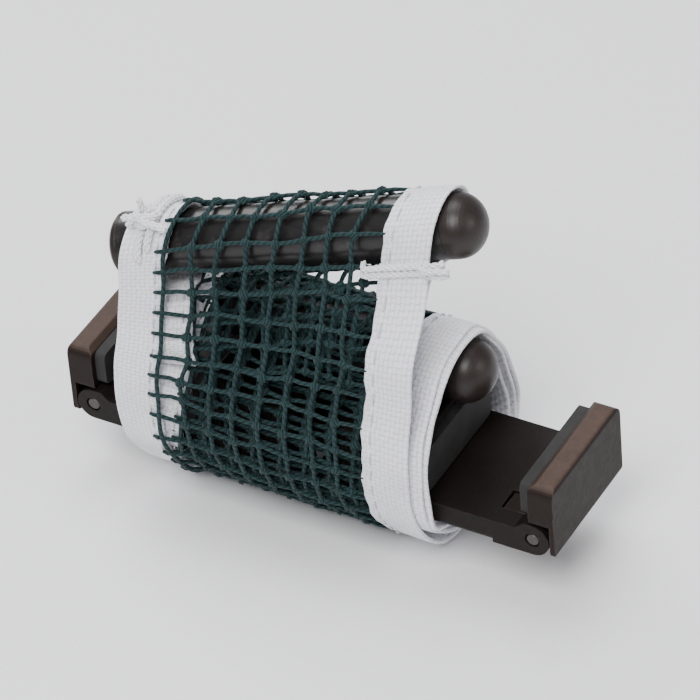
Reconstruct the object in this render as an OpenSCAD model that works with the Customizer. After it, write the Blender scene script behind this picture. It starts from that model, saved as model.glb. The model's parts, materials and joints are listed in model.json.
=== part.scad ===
// Packed table tennis net set: a rolled net, two posts and two sprung table clamps.
// +X runs along the roll towards its head-tape end, +Z is up, z = 0 is the resting plane,
// x = 0 is the middle of the net's height and y = 0 is the centre plane of the posts.
// The front is -Y; the clamps lie slightly in front of the posts.

/* [Net roll] */
// Height of the net, which is the length of the roll
net_height = 40.5; // [39:0.5:42]
// Height of the roll's body at its right-hand end, without the outer post
roll_h = 31.2; // [31:0.1:32]
// Height of the roll's body at its left-hand end
roll_h_left = 29.9; // [29.8:0.1:31]
// Reach of the roll towards the front (-Y)
roll_front = 14.6; // [14.4:0.1:15]
// Reach of the roll towards the back (+Y)
roll_back = 12.6; // [12.2:0.1:13]
// Width of the white edge tapes
tape_w = 6.2; // [5:0.1:7]
// Thickness of the folded net at the sleeve and at the free panel
ply = 1.0; // [0.8:0.1:1.2]

/* [Posts] */
// Outer diameter of a post
post_d = 8; // [7:0.1:8]
// Wall thickness of the post tube
post_wall = 0.8; // [0.6:0.1:1]
// Length of the post tube between its two plugs
tube_len = 44; // [40:0.5:46]
// Height of the domed end
dome_h = 3.6; // [3:0.1:4]
// Height of the outer post's axis at the roll's right-hand end
outer_z = 46.4; // [46:0.2:48]
// Height of the outer post's axis at the roll's left-hand end
outer_z_left = 34.6; // [34.4:0.2:36]
// How far the outer post's left-hand end leans to the front
outer_lean = 5.6; // [5.4:0.2:7]

/* [Clamp] */
// Width of the clamp
clamp_w = 18; // [17:0.5:18]
// Height of the clamp block
clamp_h = 10.6; // [10.2:0.1:10.8]
// Length of the socket block, from its mouth to the fixed jaw
socket_len = 12.5; // [12:0.5:14]
// Depth of the post socket
socket_depth = 11; // [9:0.5:11]
// Diameter of the post socket
socket_d = 8.2; // [8.1:0.02:8.3]
// Thickness of the clamp's spine
spine_t = 3.4; // [3.2:0.1:3.8]
// Thickness of the jaw lever's plate
plate_t = 3.4; // [3.3:0.1:3.6]
// Table thickness that slides in between the pads with the jaw at rest
throat = 12.5; // [12:0.1:13]
// Thickness of the fixed rubber pad
fixed_pad_t = 1.2; // [1:0.1:1.5]
// Thickness of the rubber pad on the jaw
jaw_pad_t = 1.4; // [1:0.1:1.5]
// Diameter of the pivot pin
pin_d = 2.0; // [1.8:0.1:2.2]
// Diameter of the spring wire
wire_d = 0.7; // [0.6:0.05:0.8]

/* [Hidden] */
$fn = 64;

post_r = post_d / 2;
pin_r = pin_d / 2;
wire_r = wire_d / 2;
half_w = clamp_w / 2;
cut = 1; // how far a cutting shape runs past the face it opens

// colours shared by several pieces
cord_white = [0.93, 0.93, 0.95];
post_end_black = [0.12, 0.1, 0.1];
rubber_black = [0.03, 0.03, 0.03];

// clamp stations along its own length, from the socket mouth at 0
pad_face = socket_len + fixed_pad_t;
jaw_face = pad_face + throat;
plate_in = jaw_face + jaw_pad_t;
plate_out = plate_in + plate_t;
pin_x = plate_out - 3.0;
spine_end = pin_x - 2.4;

// clamp hinge
pin_z = 2.2;
ear_r = 2.2;
ear_in = 6.6;
knuckle_r = 2.0;
knuckle_half = 6.4;
sweep_gap = 0.2;
plate_z = pin_z + ear_r + sweep_gap;

// the lever's two heels and their recess in the spine
heel_in = 3.1;
heel_w = 3;
heel_len = 5.2;
heel_gap = 0.2;

// spring, with its fixed leg at the back and its moving leg at the front
spring_back = 1.9;
spring_front = -2.0;
moving_leg_x = pin_x + 0.9;

// where the parts lie in the bundle
clamp_z = 8.9;
clamp_y = -2;
right_mouth_x = 6.7;
left_mouth_x = 1.8;
end_x = net_height / 2;
inner_z = clamp_z + clamp_h + 1 + post_r;
post_foot_x = -24.5;
bore_r = post_r + 0.3;
sleeve_r = bore_r + ply;
outer_yaw = atan2(outer_lean, net_height);
outer_pitch = atan2(outer_z - outer_z_left,
    sqrt(net_height * net_height + outer_lean * outer_lean));

// ---- outlines ----
function unit(v) = v / norm(v);
function arc(centre, radius, start, end, facets) = [for (i = [0 : facets])
    let (angle = start + (end - start) * i / facets)
    [centre[0] + radius * cos(angle), centre[1] + radius * sin(angle)]];
// same angle, brought within -180 to 180
function short_turn(angle) = angle > 180 ? angle - 360 : (angle < -180 ? angle + 360 : angle);
function point_of(corner) = [corner[0], corner[1]];

// polygon from corners [across, up, radius], with so many facets to a rounded corner
function fillet(corners, facets) = [for (i = [0 : len(corners) - 1])
    let (count = len(corners),
         corner = point_of(corners[i]),
         radius = corners[i][2],
         to_last = unit(point_of(corners[(i + count - 1) % count]) - corner),
         to_next = unit(point_of(corners[(i + 1) % count]) - corner),
         half = acos(to_last * to_next) / 2)
    each radius <= 0 ? [corner] :
        let (reach = radius / tan(half),
             centre = corner + unit(to_last + to_next) * radius / sin(half),
             first = corner + to_last * reach - centre,
             last = corner + to_next * reach - centre,
             start = atan2(first[1], first[0]),
             turn = short_turn(atan2(last[1], last[0]) - start))
        [for (j = [0 : facets]) let (angle = start + turn * j / facets)
            centre + radius * [cos(angle), sin(angle)]]];

// rectangle with one radius for its two low corners and one for its two high corners
function box(low, high, low_radius = 0, high_radius = 0, facets = 1) = fillet([
    [low[0], low[1], low_radius], [high[0], low[1], low_radius],
    [high[0], high[1], high_radius], [low[0], high[1], high_radius]], facets);

// ---- solids from outlines ----
// side profile (x, z) pushed along Y between y0 and y1
module side(outline, y0, y1) {
    translate([0, y1, 0]) rotate([90, 0, 0]) linear_extrude(y1 - y0) polygon(outline);
}
// end profile (y, z) pushed along X between x0 and x1
module across(outline, x0, x1) {
    translate([x0, 0, 0]) rotate([90, 0, 90]) linear_extrude(x1 - x0) polygon(outline);
}
// plan profile (x, y) pushed along Z between z0 and z1
module upright(outline, z0, z1) {
    translate([0, 0, z0]) linear_extrude(z1 - z0) polygon(outline);
}
module rod_x(radius, x0, x1) {
    translate([x0, 0, 0]) rotate([0, 90, 0]) cylinder(r = radius, h = x1 - x0);
}
module rod_y(radius, y0, y1) {
    translate([0, y1, 0]) rotate([90, 0, 0]) cylinder(r = radius, h = y1 - y0);
}

// tube swept along a path of points, with closed ends
function tangent(path, i) = unit(path[min(i + 1, len(path) - 1)] - path[max(i - 1, 0)]);
module sweep(path, radius, sides) {
    count = len(path);
    // the second reference direction serves where the path runs nearly along the first
    ref = [1, 0.013, 0.021];
    spare_ref = [0.02, 0.01, 1];
    points = [for (i = [0 : count - 1])
        let (along = tangent(path, i),
             out = unit(cross(along, abs(along * unit(ref)) > 0.9 ? spare_ref : ref)),
             over = cross(along, out))
        for (j = [0 : sides - 1]) let (angle = 360 * j / sides)
            path[i] + radius * (cos(angle) * out + sin(angle) * over)];
    walls = [for (i = [0 : count - 2]) for (j = [0 : sides - 1])
        let (next = (j + 1) % sides, ring = i * sides, ring2 = (i + 1) * sides)
        each [[ring + j, ring2 + j, ring2 + next], [ring + j, ring2 + next, ring + next]]];
    first_end = [for (j = [0 : sides - 1]) j];
    last_end = [for (j = [sides - 1 : -1 : 0]) (count - 1) * sides + j];
    polyhedron(points = points, faces = concat(walls, [first_end], [last_end]), convexity = 6);
}

// ---- net roll ----
// Outline of the wound net, flat where it rests: y, z, corner radius
roll_outline = fillet([
    [-7, 0, 5], [7, 0, 6], [roll_back, 6.5, 6], [roll_back, 13, 8], [7.8, 25, 7],
    [2.2, roll_h, 4], [-6.5, roll_h, 5.5], [-roll_front, 21, 9], [-roll_front, 11, 8]], 8);
// Room for both clamps, open at both ends
core_side_gap = 0.4;
core_top_gap = 0.6;
core_outline = box(
    [clamp_y - half_w - core_side_gap, clamp_z - core_side_gap],
    [clamp_y + half_w + core_side_gap, clamp_z + clamp_h + core_top_gap]);
tape_gap = 0.05;

// origin on the outer post's axis at the roll's right-hand end, X along the post
module outer_axis() {
    translate([end_x, 0, outer_z]) rotate([0, 0, outer_yaw]) rotate([0, -outer_pitch, 0])
        children();
}

// block that keeps what lies between two stations
module between(x0, x1) { translate([x0, -40, 0]) cube([x1 - x0, 80, 80]); }

// everything the net fills between two stations along the roll
module net_slice(x0, x1) {
    difference() {
        union() {
            // the wound body, a little lower towards its left-hand end
            intersection() {
                across(roll_outline, x0, x1);
                translate([end_x, 0, roll_h])
                    rotate([0, -atan2(roll_h - roll_h_left, net_height), 0])
                    translate([-100, -50, -80]) cube([200, 100, 80]);
            }
            // free panel that leaves the roll at the front and runs up to the sleeve
            intersection() {
                hull() {
                    outer_axis() translate([0, -sleeve_r + ply * 0.55, 0])
                        rod_x(ply * 0.55, -80, 30, $fn = 12);
                    translate([0, -roll_front + ply * 1.4, 19])
                        rod_x(ply * 0.5, -60, 60, $fn = 12);
                }
                between(x0, x1);
            }
            // sleeve round the outer post
            intersection() {
                outer_axis() rod_x(sleeve_r, -80, 30);
                between(x0, x1);
            }
        }
        across(core_outline, x0 - cut, x1 + cut);
        translate([0, 0, inner_z]) rod_x(bore_r, x0 - cut, x1 + cut);
        outer_axis() rod_x(bore_r, -90, 40);
    }
}
module net_mesh() {
    inner_end = end_x - tape_w - tape_gap;
    color([0.07, 0.2, 0.19]) net_slice(-inner_end, inner_end);
}
module head_tape() { color([0.9, 0.9, 0.92]) net_slice(end_x - tape_w, end_x); }
module foot_tape() { color([0.86, 0.86, 0.9]) net_slice(-end_x, -end_x + tape_w); }

// Tie cord across the head tape, along the front of the sleeve, with a knot.
cord_r = 0.5;
module head_cord() {
    color(cord_white) outer_axis() translate([0, -sleeve_r - 1.25, -1.4]) {
        rod_x(cord_r, -9.4, 2.4);
        translate([1.2, 0, 0]) rotate([0, 90, 0]) sphere(0.95);
    }
}
// Tie cord part of the way round the sleeve's left-hand end, knotted on top.
module foot_cord() {
    color(cord_white) outer_axis() translate([-net_height, 0, 0]) {
        rotate([0, -90, 0]) rotate([0, 0, -40]) rotate_extrude(angle = 120, $fn = 48)
            translate([sleeve_r + 0.65, 0]) circle(cord_r, $fn = 16);
        translate([0, -1.6, sleeve_r + 1.1]) sphere(1.3, $fn = 24);
    }
}

// ---- posts, built along +X from the foot at x = 0 ----
flange_t = 1;
cap_rim = 0.6;
plug_chamfer = 0.4;
joint_gap = 0.02;
tube_bore_r = post_r - post_wall;
// the part of a cap or plug that sits inside the tube, tapered at its tip
insert_len = 6;
insert_taper = 0.5;
insert_r = tube_bore_r - joint_gap;
insert_tip_r = tube_bore_r - 0.45;

module post_tube() {
    color([0.1, 0.09, 0.09]) difference() {
        rod_x(post_r, flange_t, flange_t + tube_len);
        rod_x(tube_bore_r, flange_t - cut, flange_t + tube_len + cut);
    }
}
module post_cap() {
    facets = 12;
    // radius, distance past the tube's end
    stem = [[0, -insert_len], [insert_tip_r, -insert_len], [insert_r, insert_taper - insert_len],
        [insert_r, joint_gap], [post_r, joint_gap], [post_r, cap_rim]];
    dome = [for (i = [1 : facets]) let (angle = 90 * i / facets)
        [post_r * cos(angle), cap_rim + dome_h * sin(angle)]];
    color(post_end_black) translate([flange_t + tube_len, 0, 0])
        rotate([0, 90, 0]) rotate_extrude() polygon(concat(stem, dome));
}
module post_plug() {
    flange_face = flange_t - joint_gap;
    tip = flange_t + insert_len;
    color(post_end_black) rotate([0, 90, 0]) rotate_extrude() polygon([
        [0, 0], [post_r - plug_chamfer, 0], [post_r, plug_chamfer], [post_r, flange_face],
        [insert_r, flange_face], [insert_r, tip - insert_taper], [insert_tip_r, tip], [0, tip]]);
}
module at_inner() { translate([post_foot_x, 0, inner_z]) children(); }
module at_outer() { outer_axis() translate([post_foot_x - end_x, 0, 0]) children(); }

// ---- clamp, built along +X from the socket mouth at x = 0 ----
mouth_chamfer = 0.5;
core_out_half = 1.35;
core_out_margin = 1.6;
core_out_depth = 8.5;
grip_start = 2.6;
grip_pitch = 2.4;
grip_r = 0.6;

module clamp_body() {
    // spine with the socket block on it: x, z, corner radius
    block = fillet([[0, 0, 0.8], [spine_end, 0, 0], [spine_end, spine_t, 0],
        [socket_len, spine_t, 0.4], [socket_len, clamp_h, 0.8], [0, clamp_h, 0.8]], 5);
    ear_start = pin_x - 5.4;
    ear = concat([[ear_start, 0]], arc([pin_x, pin_z], ear_r, -90, 90, 16),
        [[pin_x - 1.2, pin_z + ear_r], [spine_end, spine_t], [ear_start, spine_t]]);
    color([0.09, 0.07, 0.065]) difference() {
        union() {
            intersection() {
                side(block, -half_w, half_w);
                across(box([-half_w, 0], [half_w, clamp_h], 1, 0.8, 5), -cut, pin_x);
                upright(box([0, -half_w], [pin_x + 8, half_w], 1, 1, 5), -cut, clamp_h + cut);
            }
            side(ear, -half_w, -ear_in);
            side(ear, ear_in, half_w);
        }
        // post socket and the chamfer at its mouth
        translate([0, 0, clamp_h / 2]) rod_x(socket_d / 2, -cut, socket_depth);
        translate([0, 0, clamp_h / 2]) translate([-0.01, 0, 0]) rotate([0, 90, 0])
            cylinder(r1 = socket_d / 2 + mouth_chamfer, r2 = socket_d / 2, h = mouth_chamfer);
        // core-outs each side of the socket keep the wall even
        for (s = [-1, 1]) translate([0, s * (socket_d / 2 + 2.55), 0])
            across(box([-core_out_half, core_out_margin],
                [core_out_half, clamp_h - core_out_margin], 0.6, 0.6, 4), -cut, core_out_depth);
        // recess that the lever's two heels rest in
        for (s = [-1, 1])
            translate([pin_x - heel_len - 0.3,
                (s > 0 ? heel_in : -heel_in - heel_w) - heel_gap, pin_z])
            cube([6, heel_w + 2 * heel_gap, 4]);
        // groove for the spring's fixed leg
        translate([pin_x - 8.2, spring_back - 0.55, -cut]) cube([8, 1.1, 2.2]);
        // pin hole through both ears
        translate([pin_x, 0, pin_z]) rod_y(pin_r, -half_w - cut, half_w + cut);
        // shallow grip grooves on the flanks
        for (s = [-1, 1]) for (i = [0 : 3])
            translate([grip_start + grip_pitch * i, s * (half_w + 0.25), -cut])
            cylinder(r = grip_r, h = clamp_h + 2 * cut, $fn = 24);
    }
}

module pad(z0, z1, x0, x1) {
    pad_half = half_w - 0.9;
    across(box([-pad_half, z0], [pad_half, z1], 0.8, 0.8, 5), x0, x1);
}
module fixed_pad() {
    color(rubber_black) pad(spine_t + 0.5, clamp_h - 0.5, socket_len, pad_face);
}
module jaw_pad() { color(rubber_black) pad(plate_z + 0.5, clamp_h - 0.7, jaw_face, plate_in); }

// full-width part of the lever, its end-view corners rounded
module lever_part(outline, bottom, low_radius) {
    intersection() {
        side(outline, -half_w, half_w);
        across(box([-half_w, bottom], [half_w, clamp_h], low_radius, 1.4, 6),
            plate_in - cut, plate_out + cut);
    }
}
module jaw_lever() {
    neck_top = plate_z + 0.6;
    neck_in = plate_in + 0.02;
    neck_out = plate_out - 0.3;
    skirt_in = pin_x + ear_r + 0.15;
    skirt_z = 0.25;
    // x, z, corner radius
    plate = fillet([[plate_in, plate_z, 0.3], [plate_out, plate_z, 0], [plate_out, clamp_h, 0.6],
        [plate_in + 0.8, clamp_h, 0.3], [plate_in, clamp_h - 0.65, 0.2]], 5);
    skirt = fillet([[skirt_in, skirt_z, 0], [plate_out, skirt_z, 0.5],
        [plate_out, neck_top, 0], [skirt_in, neck_top, 0]], 5);
    neck = concat([[neck_in, neck_top], [neck_in, plate_z], [pin_x - knuckle_r, pin_z]],
        arc([pin_x, pin_z], knuckle_r, 180, 270, 12),
        [[neck_out, pin_z - knuckle_r + 0.15], [neck_out, neck_top]]);
    slot_half = 2.6;
    heel_lift = 0.03;
    color([0.1, 0.075, 0.065]) difference() {
        union() {
            lever_part(plate, plate_z, 0.6);
            side(neck, -knuckle_half, knuckle_half);
            // end wall that runs down over the ears
            lever_part(skirt, skirt_z, 0.8);
            // heels that stop the jaw on the spine
            for (s = [-1, 1])
                translate([pin_x - heel_len, s > 0 ? heel_in : -heel_in - heel_w,
                    pin_z + heel_lift])
                cube([heel_len, heel_w, 1 - heel_lift]);
        }
        // bore on the pin
        translate([pin_x, 0, pin_z]) rod_y(pin_r + 0.05, -20, 20);
        // room for the spring coil
        translate([pin_x, 0, pin_z]) rod_y(2.35, -slot_half, slot_half);
        translate([pin_x - 3, -slot_half, -cut]) cube([5.3, 2 * slot_half, pin_z + 1.6]);
        // hole for the spring's moving leg
        translate([moving_leg_x, spring_front, pin_z])
            cylinder(r = 0.5, h = clamp_h - pin_z - 2, $fn = 24);
    }
}

module pivot_pin() {
    end_gap = 0.1;
    chamfer = 0.25;
    length = clamp_w - 2 * end_gap;
    color([0.75, 0.75, 0.77]) translate([pin_x, 0, pin_z]) rotate([90, 0, 0])
        translate([0, 0, -half_w + end_gap]) rotate_extrude() polygon([
            [0, 0], [pin_r - chamfer, 0], [pin_r, chamfer],
            [pin_r, length - chamfer], [pin_r - chamfer, length], [0, length]]);
}

// Torsion spring: fixed leg in the spine's groove, coil on the pin, moving leg up in the lever.
module jaw_spring() {
    coil_r = pin_r + 0.12 + wire_r;
    turns = 4.75;
    steps = turns * 16;
    fixed_leg = [for (back = [7.8, 4, 1]) [pin_x - back, spring_back, pin_z - coil_r]];
    coil = [for (i = [0 : steps]) let (angle = -90 - 360 * turns * i / steps)
        [pin_x + coil_r * cos(angle),
         spring_back + (spring_front - spring_back) * i / steps,
         pin_z + coil_r * sin(angle)]];
    moving_leg = [
        [pin_x + 0.95, spring_front, pin_z + coil_r + 0.4],
        [moving_leg_x, spring_front, pin_z + coil_r + 1.2],
        [moving_leg_x, spring_front, clamp_h - 2.6]];
    color([0.72, 0.72, 0.74]) sweep(concat(fixed_leg, coil, moving_leg), wire_r, 8);
}
module at_right() { translate([right_mouth_x, clamp_y, clamp_z]) children(); }
module at_left() { translate([left_mouth_x, clamp_y, clamp_z]) mirror([1, 0, 0]) children(); }

net_mesh();
head_tape();
foot_tape();
head_cord();
foot_cord();
at_inner() post_tube();  // inner_post_tube
at_inner() post_cap();  // inner_post_cap
at_inner() post_plug();  // inner_post_plug
at_outer() post_tube();  // outer_post_tube
at_outer() post_cap();  // outer_post_cap
at_outer() post_plug();  // outer_post_plug
at_right() clamp_body();  // right_clamp_body
at_right() fixed_pad();  // right_fixed_pad
at_right() pivot_pin();  // right_pivot_pin
at_right() jaw_spring();  // right_jaw_spring
at_right() jaw_lever();  // right_jaw_lever
at_right() jaw_pad();  // right_jaw_pad
at_left() clamp_body();  // left_clamp_body
at_left() fixed_pad();  // left_fixed_pad
at_left() pivot_pin();  // left_pivot_pin
at_left() jaw_spring();  // left_jaw_spring
at_left() jaw_lever();  // left_jaw_lever
at_left() jaw_pad();  // left_jaw_pad
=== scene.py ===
# A knotted net wound in a roll with its two posts and their clamps, lying on a floor.
# The roll lies along X: the foot tape is its left rim (-X), the head tape its right rim (+X).
# -Y is the front, +Z is up. The sheet is wound round the inner post and the clamps, then
# leaves the roll's front as a free panel and goes over the outer post.
# Lengths are in millimetres unless a comment says otherwise; MM turns them into metres.
import bpy
import json
import math
import numpy as np
from mathutils import Vector, Matrix


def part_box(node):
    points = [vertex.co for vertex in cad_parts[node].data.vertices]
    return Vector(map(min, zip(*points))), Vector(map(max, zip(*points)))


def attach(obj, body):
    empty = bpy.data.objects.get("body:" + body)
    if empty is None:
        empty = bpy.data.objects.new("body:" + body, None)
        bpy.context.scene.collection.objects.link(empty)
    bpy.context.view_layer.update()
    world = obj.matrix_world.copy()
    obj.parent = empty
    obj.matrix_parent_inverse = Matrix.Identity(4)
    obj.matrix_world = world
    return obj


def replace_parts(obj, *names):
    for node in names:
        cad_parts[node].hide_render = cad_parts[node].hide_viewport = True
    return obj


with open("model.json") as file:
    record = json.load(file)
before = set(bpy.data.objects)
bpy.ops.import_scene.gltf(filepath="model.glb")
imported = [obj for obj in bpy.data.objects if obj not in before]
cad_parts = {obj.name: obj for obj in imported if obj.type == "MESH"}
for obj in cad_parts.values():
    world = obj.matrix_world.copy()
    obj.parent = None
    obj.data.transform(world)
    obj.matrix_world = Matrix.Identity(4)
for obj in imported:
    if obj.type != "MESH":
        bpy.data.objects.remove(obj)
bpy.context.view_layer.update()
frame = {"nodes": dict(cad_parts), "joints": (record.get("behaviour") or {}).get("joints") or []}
NODES = frame["nodes"]
RNG = np.random.default_rng(7)
MM = 0.001
TAU = 2 * math.pi


# ------------------------------------------------------------------ small maths
def unit(vector):
    return vector / (np.linalg.norm(vector) + 1e-12)


def smooth01(t):
    t = np.clip(t, 0, 1)
    return t * t * (3 - 2 * t)


def lengths_along(points):
    """distance of each point from the first, measured along the line"""
    return np.concatenate([[0], np.cumsum(np.linalg.norm(np.diff(points, axis=0), axis=1))])


# ------------------------------------------------------------------ sizes read from the frame
def box_mm(name):
    low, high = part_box(name)
    return np.array(low) * 1000, np.array(high) * 1000


def joint(name):
    return [item for item in frame["joints"] if item["name"] == name][0]


head_low, head_high = box_mm("head_tape")
X_LEFT, X_RIGHT = box_mm("foot_tape")[0][0], head_high[0]     # the two rims of the roll
TAPE_WIDTH = X_RIGHT - head_low[0]
FRONT, BACK = head_low[1], head_high[1]         # reach of the roll to -Y and +Y
TAPE_HALF = 0.21                                # half the thickness of a folded tape
CLAMP_LOW, CLAMP_HIGH = box_mm("right_clamp_body")
inner_low, inner_high = box_mm("inner_post_tube")
INNER_AXIS = np.array([(inner_low[1] + inner_high[1]) / 2, (inner_low[2] + inner_high[2]) / 2])
POST_RADIUS = (inner_high[1] - inner_low[1]) / 2
ROLL_TOP_HEAD, ROLL_TOP_FOOT = 31.2, 29.9       # heights of the roll's body at its rims


def outer_post_ends():
    """centres of the end rings of the outer post's tube"""
    tube = np.array([v.co for v in NODES["outer_post_tube"].data.vertices]) * 1000
    axis = np.array(joint("outer_post_slide")["axis"], float)
    axis /= np.linalg.norm(axis)
    along = (tube - tube.mean(0)) @ axis
    end_band = 0.05
    return (tube[along < along.min() + end_band].mean(0),
            tube[along > along.max() - end_band].mean(0))


POST_START, POST_END = outer_post_ends()


def outer_axis_at(x):
    """(y, z) of the outer post's axis at station x"""
    point = POST_START + (POST_END - POST_START) * ((x - POST_START[0])
                                                    / (POST_END[0] - POST_START[0]))
    return np.array([point[1], point[2]])


# ------------------------------------------------------------------ cross-section of the roll
def fillet(corners, steps=10):
    """closed outline through rounded corners, each given as (y, z, radius)"""
    corners = np.array(corners, float)
    points, radii, out = corners[:, :2], corners[:, 2], []
    for i, radius in enumerate(radii):
        before, corner, after = points[i - 1], points[i], points[(i + 1) % len(points)]
        u, v = unit(before - corner), unit(after - corner)
        half = math.acos(np.clip(u @ v, -1, 1)) / 2
        reach = radius / math.tan(half)
        middle = corner + unit(u + v) * radius / math.sin(half)
        start, end = corner + u * reach - middle, corner + v * reach - middle
        first = math.atan2(start[1], start[0])
        sweep = (math.atan2(end[1], end[0]) - first + math.pi) % TAU - math.pi
        for step in range(steps + 1):
            angle = first + sweep * step / steps
            out.append(middle + radius * np.array([math.cos(angle), math.sin(angle)]))
    return np.array(out)


def convex_hull(points):
    points = sorted(map(tuple, points))

    def chain(ordered):
        kept = []
        for p in ordered:
            while len(kept) > 1 and ((kept[-1][0] - kept[-2][0]) * (p[1] - kept[-2][1])
                                     - (kept[-1][1] - kept[-2][1]) * (p[0] - kept[-2][0])) <= 0:
                kept.pop()
            kept.append(p)
        return kept[:-1]
    return np.array(chain(points) + chain(points[::-1]))


ROLL_CENTRE = np.array([-1.5, 15.5])
ANGLES = np.radians(np.arange(0, 360, 0.5))


def radial(outline):
    """distance from ROLL_CENTRE to a closed outline along each of ANGLES"""
    a, b = outline - ROLL_CENTRE, np.roll(outline, -1, 0) - ROLL_CENTRE
    edge = b - a
    out = []
    for angle in ANGLES:
        ray = np.array([math.cos(angle), math.sin(angle)])
        cross = ray[0] * edge[:, 1] - ray[1] * edge[:, 0]
        cross = np.where(abs(cross) < 1e-12, 1e-12, cross)
        distance = (a[:, 0] * edge[:, 1] - a[:, 1] * edge[:, 0]) / cross
        on_edge = (a[:, 0] * ray[1] - a[:, 1] * ray[0]) / cross
        hit = (distance > 0) & (on_edge >= -1e-9) & (on_edge <= 1 + 1e-9)
        out.append(distance[hit].max())
    return np.array(out)


def radius_at(table, angle):
    return np.interp(np.mod(angle, TAU), np.append(ANGLES, TAU), np.append(table, table[0]))


def roll_outline(top):
    """outside of the roll's body; columns: y, z, corner radius"""
    return fillet([
        (-7, 0.1, 5), (7, 0.1, 6), (BACK, 6.5, 6), (BACK, 13, 8), (7.8, 25, 7),
        (2.2, top, 4), (-6.5, top, 5.5), (FRONT, 21, 9), (FRONT, 11, 8)])


def core_outline():
    """hull of the inner post, the clamp body and four more points"""
    circle = np.array([[math.cos(t), math.sin(t)]
                       for t in np.linspace(0, TAU, 48, endpoint=False)])
    post_gap, corner = 0.25, 1.0
    y_low, z_low = CLAMP_LOW[1] - 0.2, CLAMP_LOW[2] - 0.25
    y_high, z_high = CLAMP_HIGH[1] + 0.3, CLAMP_HIGH[2] + 0.3
    points = [INNER_AXIS + (POST_RADIUS + post_gap) * c for c in circ_rows(circle)]
    points += [np.array(q) for q in ((9.2, 13.0), (9.2, 9.5), (7.4, 20.5), (-5.6, 27.3))]
    for y in (y_low + corner, y_high - corner):
        for z in (z_low + corner, z_high - corner):
            points += [np.array([y, z]) + corner * c for c in circle]
    return convex_hull(points)


def circ_rows(circle):
    return list(circle)


CORE_RADII = radial(core_outline())

# ------------------------------------------------------------------ the wound sheet
TURNS = 3.6
SLEEVE_RADIUS = POST_RADIUS + 0.3 + 0.35        # the sheet's bend over the outer post
SPIRAL_END_ANGLE = math.radians(162)            # where the sheet leaves the roll
ARC_END_DEG = -105                              # where it leaves the outer post
N_SPIRAL, N_PANEL, N_ARC, N_TAIL, N_BACK = 1500, 140, 150, 60, 60
END_PANEL = N_SPIRAL + N_PANEL
END_ARC = END_PANEL + N_ARC


def winding(roll_top, post, back_length):
    """(y, z) points from the core outwards, then over the outer post whose axis is at post"""
    u = np.linspace(0, 1, N_SPIRAL)
    angle = SPIRAL_END_ANGLE + TAU * TURNS * (1 - u)
    inside = radius_at(CORE_RADII, angle) + 0.37
    outside = radius_at(radial(roll_outline(roll_top)), angle) - 0.26
    r = inside + (outside - inside) * u
    spiral = ROLL_CENTRE + np.stack([r * np.cos(angle), r * np.sin(angle)], 1)

    # the free panel runs straight to touch the bend over the post
    leave = spiral[-1]
    from_post = leave - post
    touch_angle = (math.atan2(from_post[1], from_post[0])
                   - math.acos(SLEEVE_RADIUS / np.linalg.norm(from_post)))
    touch = post + SLEEVE_RADIUS * np.array([math.cos(touch_angle), math.sin(touch_angle)])
    panel = leave + (touch - leave) * np.linspace(0, 1, N_PANEL + 1)[1:, None]

    arc_start = math.degrees(touch_angle) % 360
    turn = np.radians(np.linspace(arc_start, ARC_END_DEG, N_ARC + 1)[1:])
    arc = post + SLEEVE_RADIUS * np.stack([np.cos(turn), np.sin(turn)], 1)

    # a Bezier tail brings the sheet's end back beside the panel, on its inner side
    up = unit(touch - leave)
    inward = np.array([up[1], -up[0]])
    beside = touch - up * (SLEEVE_RADIUS + 2.4) + inward * 0.85
    tail_end = touch - up * (SLEEVE_RADIUS + 6.0) + inward * 0.7
    k = np.linspace(0, 1, N_TAIL + 1)[1:, None]
    start = arc[-1]
    pull_start, pull_end = start + unit(arc[-1] - arc[-2]) * 3.2, beside + up * 1.2
    tail = ((1 - k) ** 3 * start + 3 * (1 - k) ** 2 * k * pull_start
            + 3 * (1 - k) * k ** 2 * pull_end + k ** 3 * tail_end)
    back = (tail_end - up * (np.linspace(0, 1, N_BACK + 1)[1:, None] * back_length)
            + inward * 0.25)
    return np.vstack([spiral, panel, arc, tail, back])


def soften(points, passes):
    points = points.copy()
    for _ in range(passes):
        points[1:-1] = 0.25 * points[:-2] + 0.5 * points[1:-1] + 0.25 * points[2:]
    return points


def relax(points):
    """inner turns follow the core closely; the outer ones are rounder"""
    i = np.arange(len(points))
    weight = smooth01((i / N_SPIRAL - 0.12) / 0.55) * smooth01((N_SPIRAL + 60 - i) / 110)
    return points * (1 - weight[:, None]) + soften(points, 160) * weight[:, None]


PATH_FOOT = relax(soften(winding(ROLL_TOP_FOOT, outer_axis_at(X_LEFT), 2.0), 14))
PATH_HEAD = relax(soften(winding(ROLL_TOP_HEAD, outer_axis_at(X_RIGHT), 9.5), 14))
LENGTHS = lengths_along((PATH_FOOT + PATH_HEAD) / 2)
INDEX = np.arange(len(LENGTHS), dtype=float)
# lengths along the winding at which the whole sheet, spiral, panel and arc end
S_TOTAL, S_ROLL = LENGTHS[-1], LENGTHS[N_SPIRAL - 1]
S_PANEL, S_ARC = LENGTHS[END_PANEL - 1], LENGTHS[END_ARC - 1]
# slip of the turns along X, innermost first
# columns: share of the winding's length, slip at the foot rim, slip at the head rim
SLIP = np.array([
    (0, 0.6, 0.4), (0.15, 1.6, 1.2), (0.30, 2.6, 1.8), (0.45, 3.6, 1.5),
    (0.57, 4.6, 1.2), (0.64, 4.0, 0.8), (0.74, 0.4, 0.1), (0.84, 0.0, 0.0),
    (0.935, 0.0, 0.0), (0.965, 3.2, -0.4), (1.0, 5.6, -0.8)])
SLIP_S = SLIP[:, 0] * S_TOTAL
PHASES = RNG.uniform(0, TAU, 40)


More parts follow.
